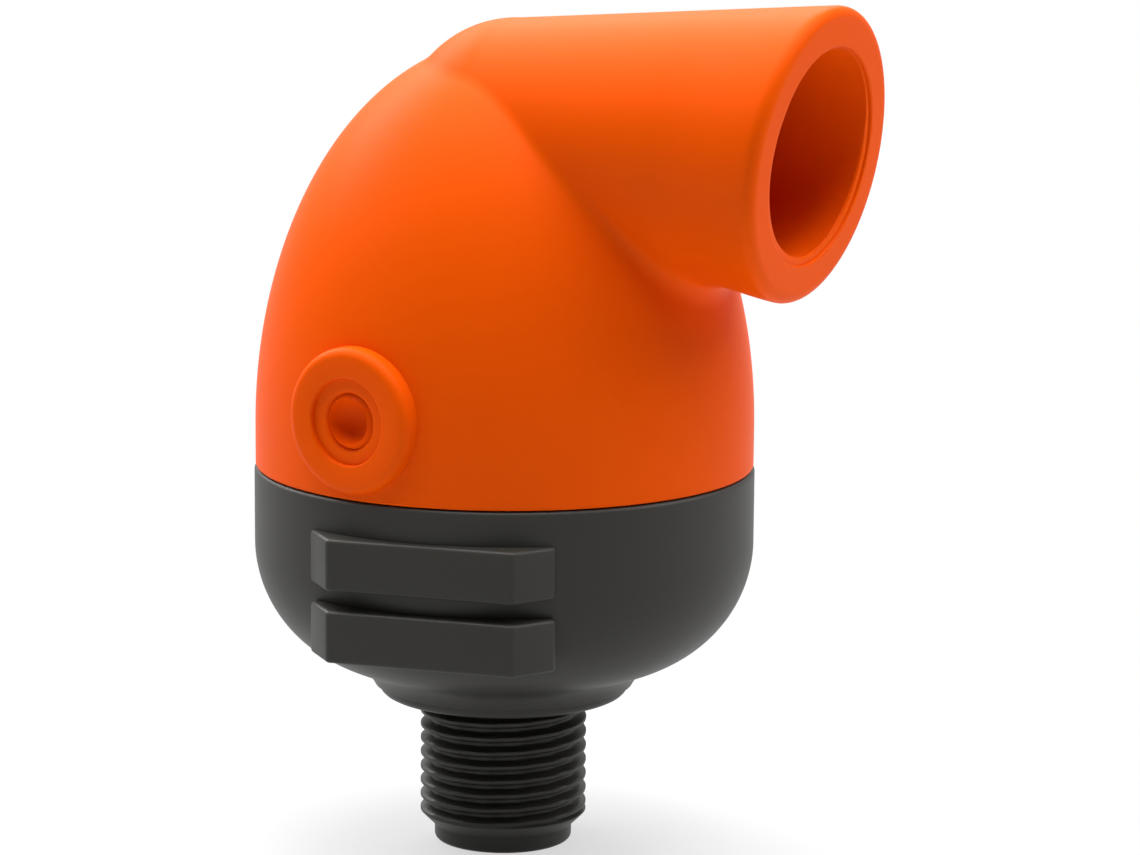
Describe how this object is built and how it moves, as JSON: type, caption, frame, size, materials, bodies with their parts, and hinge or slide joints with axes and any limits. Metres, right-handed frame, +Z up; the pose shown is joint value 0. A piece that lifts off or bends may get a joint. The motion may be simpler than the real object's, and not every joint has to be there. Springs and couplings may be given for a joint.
{
  "type": "automatic air vent valve",
  "caption": "Float-operated automatic air vent: dome cap with a flared side outlet elbow, screwed onto a bowl base with spanner bars and a threaded bottom inlet.",
  "frame": {"origin": "on the valve's axis at the end face of the threaded inlet", "axes": "+Z up along the valve's axis towards the dome, +X along the outlet elbow, -Y towards the blind side port"},
  "size_m": [0.0761, 0.0676, 0.1064],
  "materials": {
    "orange_plastic": "moulded orange plastic, satin",
    "grey_plastic": "moulded dark grey glass-filled plastic, satin",
    "natural_plastic": "natural off-white plastic, fine satin",
    "seal_rubber": "black rubber, matte",
    "brass": "turned brass",
    "steel": "stainless steel sheet and wire"
  },
  "bodies": {
    "base": {"base_body": "grey_plastic", "float_guide": "natural_plastic"},
    "seal_ring": {"cap_o_ring": "seal_rubber"},
    "cap": {"dome_cap": "orange_plastic", "vent_seat": "brass", "seat_o_ring": "seal_rubber", "lever_bracket": "steel", "bracket_screw_front": "steel", "bracket_screw_back": "steel", "bracket_washer_front": "steel", "bracket_washer_back": "steel", "lever_pin": "steel", "lever_pin_clip_front": "steel", "lever_pin_clip_back": "steel"},
    "lever": {"lever_arm": "natural_plastic", "seal_pad": "seal_rubber"},
    "float": {"float_shell_lower": "natural_plastic", "float_shell_upper": "natural_plastic", "float_stem": "brass", "float_washer": "steel", "float_nut": "brass", "float_yoke": "steel", "link_pin": "steel", "link_pin_clip_front": "steel", "link_pin_clip_back": "steel"}
  },
  "joints": [
    {"name": "cap_lift", "type": "slide", "parent": "base", "child": "seal_ring", "axis": [0, 0, 1], "range_m": [0, 0.0101]},
    {"name": "cap_turn", "type": "hinge", "parent": "seal_ring", "child": "cap", "pos_m": [0, 0, 0.0482], "axis": [0, 0, 1], "range_deg": [0, 900]},
    {"name": "float_slide", "type": "slide", "parent": "cap", "child": "float", "axis": [0, 0, 1], "range_m": [0, 0.005]},
    {"name": "lever_hinge", "type": "hinge", "parent": "cap", "child": "lever", "pos_m": [0.018, 0, 0.06243], "axis": [0, 1, 0], "range_deg": [0, 16.2]}
  ],
  "couplings": [
    {"joint": "cap_lift", "follows": "cap_turn", "m_per_rad": 0.00063662},
    {"joint": "lever_hinge", "follows": "float_slide", "rad_per_m": 54.189}
  ]
}
